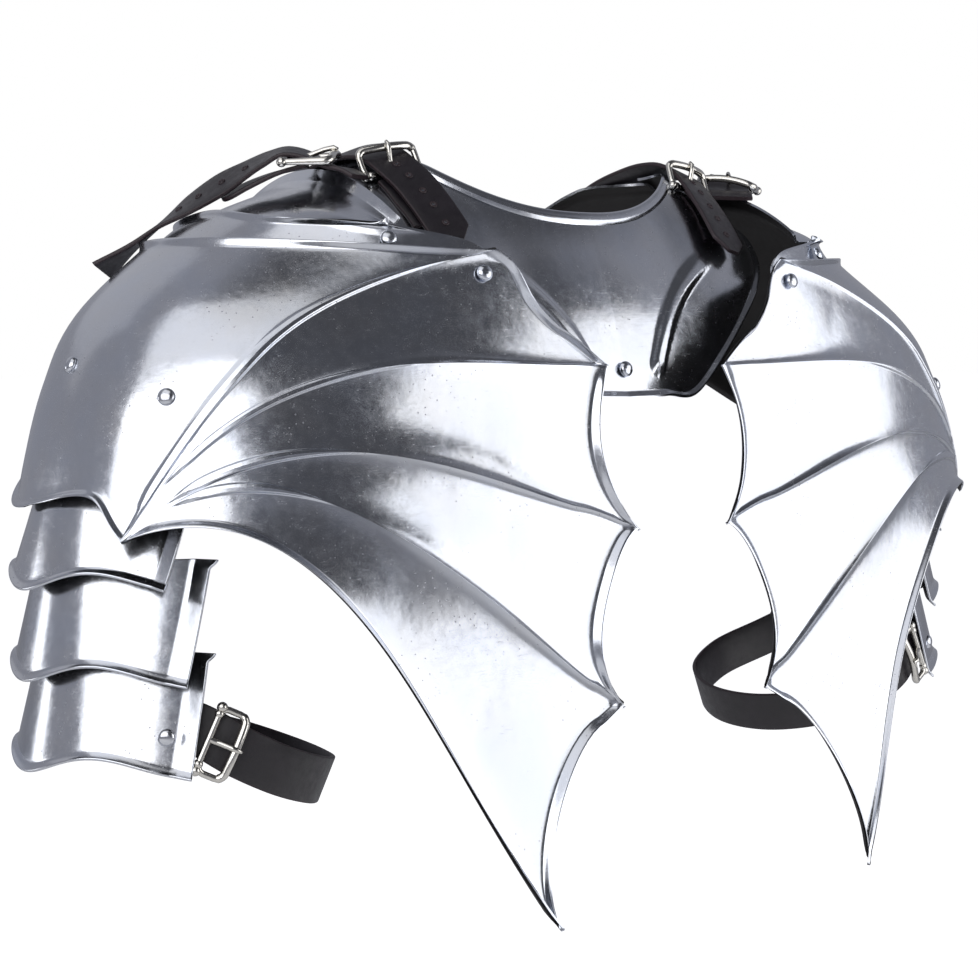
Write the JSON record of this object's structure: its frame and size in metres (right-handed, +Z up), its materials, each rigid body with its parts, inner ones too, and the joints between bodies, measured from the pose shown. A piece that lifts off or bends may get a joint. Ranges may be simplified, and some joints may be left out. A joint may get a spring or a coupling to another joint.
{
  "type": "gorget with winged pauldrons",
  "caption": "Polished steel neck collar with bib plates, carrying bat-wing shoulder plates, lames and arm lames on buckled black leather straps.",
  "frame": {"origin": "centre of the neck opening at the height where the plates sit on the shoulders", "axes": "+X wearer's left, +Y wearer's back, +Z up"},
  "size_m": [0.6292, 0.3105, 0.3938],
  "materials": {
    "polished_steel": "hand polished, with fine scratches",
    "nickel_plate": "bright nickel plate",
    "black_leather": "smooth dyed leather, lightly waxed"
  },
  "bodies": {
    "root": {"arm_buckle_L": "nickel_plate", "arm_buckle_R": "nickel_plate", "arm_lame_1_L": "polished_steel", "arm_lame_1_R": "polished_steel", "arm_lame_2_L": "polished_steel", "arm_lame_2_R": "polished_steel", "arm_lame_3_L": "polished_steel", "arm_lame_3_R": "polished_steel", "arm_leather_1_L": "black_leather", "arm_leather_1_R": "black_leather", "arm_leather_2_L": "black_leather", "arm_leather_2_R": "black_leather", "arm_rivet_L": "polished_steel", "arm_rivet_R": "polished_steel", "arm_strap_L": "black_leather", "arm_strap_R": "black_leather", "cap_rivet_1_L": "polished_steel", "cap_rivet_1_R": "polished_steel", "cap_rivet_2_L": "polished_steel", "cap_rivet_2_R": "polished_steel", "gorget_back": "polished_steel", "gorget_front": "polished_steel", "gorget_rivet": "polished_steel", "lame_pivot_back_L": "polished_steel", "lame_pivot_back_R": "polished_steel", "lame_pivot_front_L": "polished_steel", "lame_pivot_front_R": "polished_steel", "neck_buckle_L": "nickel_plate", "neck_buckle_R": "nickel_plate", "neck_strap_L": "black_leather", "neck_strap_R": "black_leather", "neck_tab_L": "black_leather", "neck_tab_R": "black_leather", "pauldron_buckle_L": "nickel_plate", "pauldron_buckle_R": "nickel_plate", "pauldron_strap_L": "black_leather", "pauldron_strap_R": "black_leather", "pauldron_tab_L": "black_leather", "pauldron_tab_R": "black_leather", "upper_lame_1_L": "polished_steel", "upper_lame_1_R": "polished_steel", "upper_lame_2_L": "polished_steel", "upper_lame_2_R": "polished_steel", "wing_pivot_back_L": "polished_steel", "wing_pivot_back_R": "polished_steel", "wing_pivot_front_L": "polished_steel", "wing_pivot_front_R": "polished_steel", "wing_plate_L": "polished_steel", "wing_plate_R": "polished_steel"}
  },
  "joints": []
}
